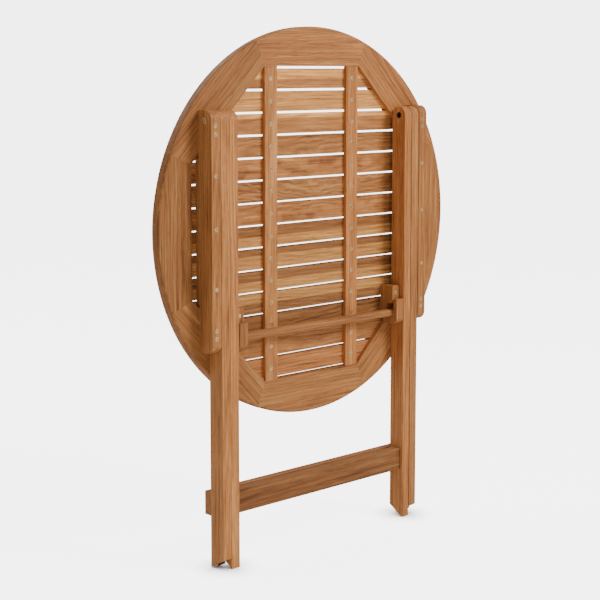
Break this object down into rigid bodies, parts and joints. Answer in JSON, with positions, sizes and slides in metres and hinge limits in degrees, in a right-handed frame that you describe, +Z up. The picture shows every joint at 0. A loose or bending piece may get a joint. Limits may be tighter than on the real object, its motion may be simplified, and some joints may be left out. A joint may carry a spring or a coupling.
{
  "type": "folding garden table",
  "caption": "Round slatted wooden garden table that folds flat: ring-framed top, crossed legs on side rails, stretchers and a latch bar.",
  "frame": {"origin": "centre of the base of the folded table's box, on the ground under the feet", "axes": "+Z up, +X along the slats and the pivots, +Y towards the table top's upper face, -Y towards the legs"},
  "size_m": [0.7, 0.055, 0.94],
  "materials": {
    "ring_wood": "oiled hardwood",
    "slat_wood": "oiled hardwood",
    "frame_wood": "oiled hardwood",
    "brass": "brass-plated, satin",
    "steel": "zinc-plated",
    "black_plastic": "matt moulded",
    "black_rubber": "matt pad"
  },
  "bodies": {
    "crossing_pivot": {"mid_pivot_bolts": "steel"},
    "outer_legs": {"outer_leg_left": "frame_wood", "outer_leg_right": "frame_wood", "back_stretcher": "frame_wood", "back_stretcher_screws": "brass", "outer_glide_left": "black_rubber", "outer_glide_right": "black_rubber", "leg_washers": "steel"},
    "table_top": {"batten_left": "frame_wood", "batten_right": "frame_wood", "batten_screws": "brass", "keeper_screws": "brass", "latch_hook_left": "frame_wood", "latch_hook_right": "frame_wood", "latch_keeper_left": "frame_wood", "latch_keeper_right": "frame_wood", "rail_left": "frame_wood", "rail_right": "frame_wood", "rail_screws": "brass", "ring_segment_1": "ring_wood", "ring_segment_2": "ring_wood", "ring_segment_3": "ring_wood", "ring_segment_4": "ring_wood", "ring_segment_5": "ring_wood", "ring_segment_6": "ring_wood", "ring_segment_7": "ring_wood", "ring_segment_8": "ring_wood", "slat_01": "slat_wood", "slat_02": "slat_wood", "slat_03": "slat_wood", "slat_04": "slat_wood", "slat_05": "slat_wood", "slat_06": "slat_wood", "slat_07": "slat_wood", "slat_08": "slat_wood", "slat_09": "slat_wood", "slat_10": "slat_wood", "slat_11": "slat_wood", "slat_12": "slat_wood", "slat_13": "slat_wood", "slat_14": "slat_wood", "top_pivot_bolts": "brass", "top_pivot_sleeves": "steel"},
    "locking_bar": {"locking_bar": "frame_wood"},
    "sliding_bush": {"top_bushes": "black_plastic"},
    "inner_legs": {"inner_leg_left": "frame_wood", "inner_leg_right": "frame_wood", "front_stretcher": "frame_wood", "front_stretcher_screws": "brass", "inner_glide_left": "black_rubber", "inner_glide_right": "black_rubber", "mid_pivot_sleeves": "steel"}
  },
  "joints": [
    {"name": "outer_legs_spread", "type": "hinge", "parent": "crossing_pivot", "child": "outer_legs", "pos_m": [0, -0.01, 0.403], "axis": [1, 0, 0], "range_deg": [0, 30]},
    {"name": "top_fold", "type": "hinge", "parent": "outer_legs", "child": "table_top", "pos_m": [0, -0.01, 0.778], "axis": [1, 0, 0], "range_deg": [0, 60]},
    {"name": "bush_slide", "type": "slide", "parent": "table_top", "child": "sliding_bush", "axis": [0, 0, -1], "range_m": [0, 0.375]},
    {"name": "inner_legs_swing", "type": "hinge", "parent": "sliding_bush", "child": "inner_legs", "pos_m": [0, -0.01, 0.778], "axis": [-1, 0, 0], "range_deg": [0, 120]},
    {"name": "bar_lift", "type": "slide", "parent": "table_top", "child": "locking_bar", "axis": [0, 0, 1], "range_m": [0, 0.009]}
  ],
  "couplings": [
    {"joint": "outer_legs_spread", "follows": "top_fold", "ratio": 0.5},
    {"joint": "bush_slide", "follows": "top_fold", "m_per_rad": 0.3581},
    {"joint": "inner_legs_swing", "follows": "top_fold", "ratio": 2}
  ]
}
